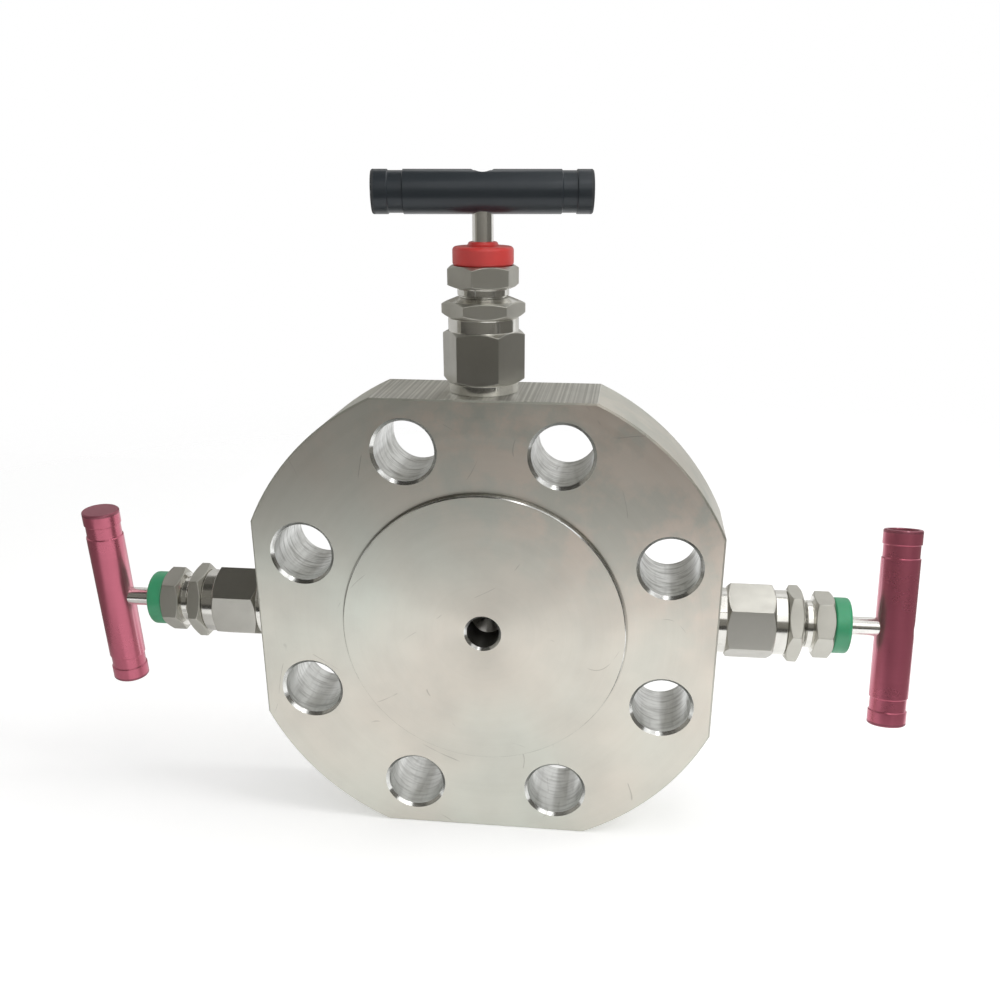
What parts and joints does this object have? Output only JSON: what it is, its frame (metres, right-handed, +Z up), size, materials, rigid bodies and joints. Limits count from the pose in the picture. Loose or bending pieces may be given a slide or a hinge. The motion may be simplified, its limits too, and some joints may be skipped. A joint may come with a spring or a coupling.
{
  "type": "monoflange valve",
  "caption": "Flanged double block and bleed valve: a thick round flange with milled flats, radial needle valve heads with T bar handles, a raised face and through bolt holes.",
  "frame": {"origin": "on the flange axis in the middle plane of the flange, where the valve axes meet it", "axes": "+Y along the flange axis, away from the process side; +Z up, towards the vent valve; +X right, towards the inlet valve"},
  "size_m": [0.2768, 0.033, 0.2134],
  "materials": {
    "flange_steel": "turned and milled stainless steel",
    "bonnet_steel": "machined stainless steel bar",
    "gland_steel": "machined stainless steel bar",
    "turned_steel": "turned stainless steel",
    "stem_steel": "ground stainless steel",
    "screw_steel": "dark steel",
    "packing": "pressed graphite rings",
    "black_bar": "black anodised",
    "magenta_bar": "magenta anodised",
    "red_cap": "moulded plastic",
    "green_cap": "moulded plastic"
  },
  "bodies": {
    "body": {"flange_body": "flange_steel", "vent_bonnet": "bonnet_steel", "vent_packing_washer": "turned_steel", "vent_packing": "packing", "vent_gland_ring": "turned_steel", "vent_gland": "gland_steel", "vent_lock_nut": "gland_steel", "vent_dust_cap": "red_cap", "inlet_bonnet": "bonnet_steel", "inlet_packing_washer": "turned_steel", "inlet_packing": "packing", "inlet_gland_ring": "turned_steel", "inlet_gland": "gland_steel", "inlet_lock_nut": "gland_steel", "inlet_dust_cap": "green_cap", "outlet_bonnet": "bonnet_steel", "outlet_packing_washer": "turned_steel", "outlet_packing": "packing", "outlet_gland_ring": "turned_steel", "outlet_gland": "gland_steel", "outlet_lock_nut": "gland_steel", "outlet_dust_cap": "green_cap"},
    "vent_tip": {"vent_stem_tip": "turned_steel"},
    "vent_spindle": {"vent_stem": "stem_steel", "vent_handle": "black_bar", "vent_handle_screw": "screw_steel"},
    "inlet_tip": {"inlet_stem_tip": "turned_steel"},
    "inlet_spindle": {"inlet_stem": "stem_steel", "inlet_handle": "magenta_bar", "inlet_handle_screw": "screw_steel"},
    "outlet_tip": {"outlet_stem_tip": "turned_steel"},
    "outlet_spindle": {"outlet_stem": "stem_steel", "outlet_handle": "magenta_bar", "outlet_handle_screw": "screw_steel"}
  },
  "joints": [
    {"name": "vent_lift", "type": "slide", "parent": "body", "child": "vent_tip", "axis": [0, 0, 1], "range_m": [0, 0.0045]},
    {"name": "vent_turn", "type": "hinge", "parent": "vent_tip", "child": "vent_spindle", "pos_m": [-0.0013, 0, 0.075], "axis": [0, 0, 1], "range_deg": [0, 1620]},
    {"name": "inlet_lift", "type": "slide", "parent": "body", "child": "inlet_tip", "axis": [1, 0, 0], "range_m": [0, 0.0045]},
    {"name": "inlet_turn", "type": "hinge", "parent": "inlet_tip", "child": "inlet_spindle", "pos_m": [0.075, 0, 0.0014], "axis": [1, 0, 0], "range_deg": [0, 1620]},
    {"name": "outlet_lift", "type": "slide", "parent": "body", "child": "outlet_tip", "axis": [-1, 0, 0], "range_m": [0, 0.0045]},
    {"name": "outlet_turn", "type": "hinge", "parent": "outlet_tip", "child": "outlet_spindle", "pos_m": [-0.075, 0, 0], "axis": [-1, 0, 0], "range_deg": [0, 1620]}
  ],
  "couplings": [
    {"joint": "vent_lift", "follows": "vent_turn", "m_per_rad": 0.00015915},
    {"joint": "inlet_lift", "follows": "inlet_turn", "m_per_rad": 0.00015915},
    {"joint": "outlet_lift", "follows": "outlet_turn", "m_per_rad": 0.00015915}
  ]
}
